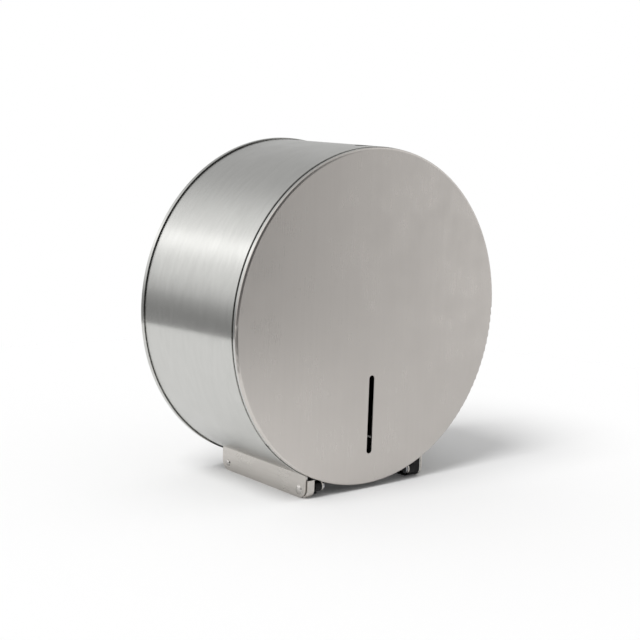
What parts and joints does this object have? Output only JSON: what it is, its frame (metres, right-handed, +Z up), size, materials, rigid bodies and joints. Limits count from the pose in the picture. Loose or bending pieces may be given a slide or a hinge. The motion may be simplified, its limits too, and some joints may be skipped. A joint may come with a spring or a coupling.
{
  "type": "jumbo toilet roll dispenser",
  "caption": "Round steel drum dispenser for jumbo toilet rolls: bottom-hinged front disc with a sight slot, top key lock, core hub, and a paper mouth between two toothed cheeks.",
  "frame": {"origin": "centre of the wall plate's back face, on the wall plane and on the drum's axis", "axes": "+X to the right as seen from the front, +Y into the wall, +Z up; the cover faces -Y"},
  "size_m": [0.27, 0.1245, 0.2714],
  "materials": {
    "satin_steel": "satin brushed stainless sheet",
    "plated_steel": "turned and zinc-plated steel",
    "black_nylon": "moulded, fine matt grain",
    "grey_abs": "moulded, satin"
  },
  "bodies": {
    "body": {"wall_plate": "satin_steel", "drum_band": "satin_steel", "left_cheek_plate": "satin_steel", "right_cheek_plate": "satin_steel", "left_runner": "satin_steel", "right_runner": "satin_steel", "left_tear_strip": "black_nylon", "right_tear_strip": "black_nylon", "left_rivets": "satin_steel", "right_rivets": "satin_steel", "left_hinge_pin": "plated_steel", "right_hinge_pin": "plated_steel", "lock_barrel": "plated_steel", "lock_nut": "plated_steel", "hub_axle": "plated_steel", "axle_base": "plated_steel", "axle_washer": "plated_steel", "axle_nut": "plated_steel"},
    "cover": {"cover_panel": "satin_steel", "cover_rim": "satin_steel", "left_hinge_ear": "satin_steel", "right_hinge_ear": "satin_steel", "lock_catch": "plated_steel"},
    "hub": {"core_hub": "grey_abs", "guide_disc": "grey_abs"},
    "lock": {"lock_plug": "plated_steel", "lock_cam": "plated_steel", "cam_nut": "plated_steel"}
  },
  "joints": [
    {"name": "cover_hinge", "type": "hinge", "parent": "body", "child": "cover", "pos_m": [0, -0.1195, -0.128], "axis": [1, 0, 0], "range_deg": [0, 90]},
    {"name": "hub_spin", "type": "hinge", "parent": "body", "child": "hub", "pos_m": [0, -0.0554, 0], "axis": [0, 1, 0], "continuous": true},
    {"name": "lock_turn", "type": "hinge", "parent": "body", "child": "lock", "pos_m": [0, -0.105, 0.115], "axis": [0, 0, 1], "range_deg": [0, 90]}
  ]
}
